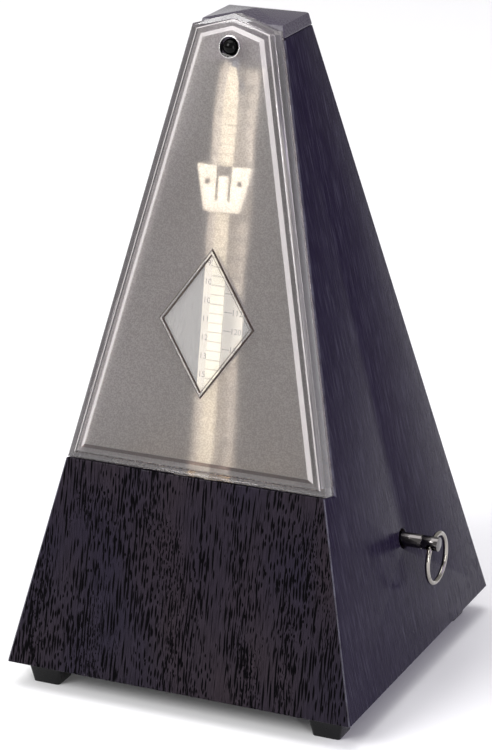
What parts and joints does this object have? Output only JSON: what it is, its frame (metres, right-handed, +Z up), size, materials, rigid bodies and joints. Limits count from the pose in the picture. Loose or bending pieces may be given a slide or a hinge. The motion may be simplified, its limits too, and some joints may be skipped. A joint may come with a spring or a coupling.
{
  "type": "pyramid metronome",
  "caption": "Pyramid-shaped clockwork metronome with a frosted tilting front door, leaning pendulum with sliding weight and a side winding key.",
  "frame": {"origin": "on the floor under the middle of the whole object's box, key included; the case's own middle is 1.9 mm to the -X side of it", "axes": "+Z up, the door and lower front face -Y, the winding key is on the +X side"},
  "size_m": [0.1258, 0.122, 0.2202],
  "materials": {
    "case": "dark wood-grained moulding, satin",
    "cap": "satin moulding",
    "base": "matt moulding",
    "feet": "smooth black moulding",
    "door": "clear moulding with a frosted panel",
    "window": "clear polished moulding",
    "latch_ring": "polished",
    "latch_stud": "polished black",
    "spring_steel": "blued spring steel",
    "scale": "cream print on sheet metal",
    "rod": "cream lacquer on flat steel",
    "weight": "ivory lacquer",
    "steel": "turned steel",
    "brass": "stamped brass",
    "screws": "zinc-plated steel",
    "key": "polished nickel"
  },
  "bodies": {
    "case": {"case_shell": "case", "roof_cap": "cap", "base_plate": "base", "foot_front_left": "feet", "foot_front_right": "feet", "foot_back_left": "feet", "foot_back_right": "feet", "foot_screws": "screws", "latch_stud": "latch_stud", "rest_clip": "spring_steel", "scale_plate": "scale", "left_plate": "brass", "right_plate": "brass", "top_plate": "brass", "frame_pillars": "steel", "frame_screws": "screws", "front_cock": "brass", "back_cock": "brass", "escape_cock": "brass", "click_spring": "spring_steel", "key_bush": "brass"},
    "door": {"front_door": "door", "door_window": "window", "latch_ring": "latch_ring"},
    "pendulum": {"pendulum_rod": "rod", "counterweight": "steel", "pendulum_arbor": "brass"},
    "weight": {"sliding_weight": "weight"},
    "barrel": {"mainspring_barrel": "brass", "barrel_cover": "brass", "mainspring": "spring_steel", "great_wheel": "brass"},
    "winding": {"winding_arbor": "steel", "ratchet_wheel": "steel", "key_shank": "key"},
    "ring": {"key_ring": "key"},
    "click": {"click": "steel"},
    "third": {"third_arbor": "steel", "third_pinion": "steel", "third_wheel": "brass"},
    "escape": {"escape_arbor": "steel", "escape_pinion": "steel", "escape_wheel": "brass"}
  },
  "joints": [
    {"name": "door_tilt", "type": "hinge", "parent": "case", "child": "door", "pos_m": [-0.00191, -0.04539, 0.0774], "axis": [1, 0, 0], "range_deg": [0, 30]},
    {"name": "pendulum_swing", "type": "hinge", "parent": "case", "child": "pendulum", "pos_m": [-0.00191, -0.02, 0.0623], "axis": [0, 1, 0], "range_deg": [-5, 5]},
    {"name": "weight_slide", "type": "slide", "parent": "pendulum", "child": "weight", "axis": [0, 0.1867, 0.9824], "range_m": [-0.07, 0.02]},
    {"name": "barrel_turn", "type": "hinge", "parent": "case", "child": "barrel", "pos_m": [-0.00191, 0.0039, 0.0463], "axis": [1, 0, 0], "continuous": true},
    {"name": "third_turn", "type": "hinge", "parent": "case", "child": "third", "pos_m": [-0.00191, -0.02126, 0.04485], "axis": [1, 0, 0], "continuous": true},
    {"name": "escape_turn", "type": "hinge", "parent": "case", "child": "escape", "pos_m": [-0.00191, -0.02, 0.0623], "axis": [1, 0, 0], "continuous": true},
    {"name": "key_turn", "type": "hinge", "parent": "case", "child": "winding", "pos_m": [0.04809, 0.0039, 0.0463], "axis": [1, 0, 0], "continuous": true},
    {"name": "ring_swing", "type": "hinge", "parent": "winding", "child": "ring", "pos_m": [0.06041, 0.0039, 0.0463], "axis": [0, -0.8387, -0.5446], "range_deg": [-12, 180]},
    {"name": "click_lift", "type": "hinge", "parent": "case", "child": "click", "pos_m": [0.02869, 0.0166, 0.0509], "axis": [-1, 0, 0], "range_deg": [0, 8], "stiffness_Nm_per_rad": 0.002}
  ],
  "couplings": [
    {"joint": "third_turn", "follows": "barrel_turn", "ratio": -6},
    {"joint": "escape_turn", "follows": "barrel_turn", "ratio": 36}
  ]
}
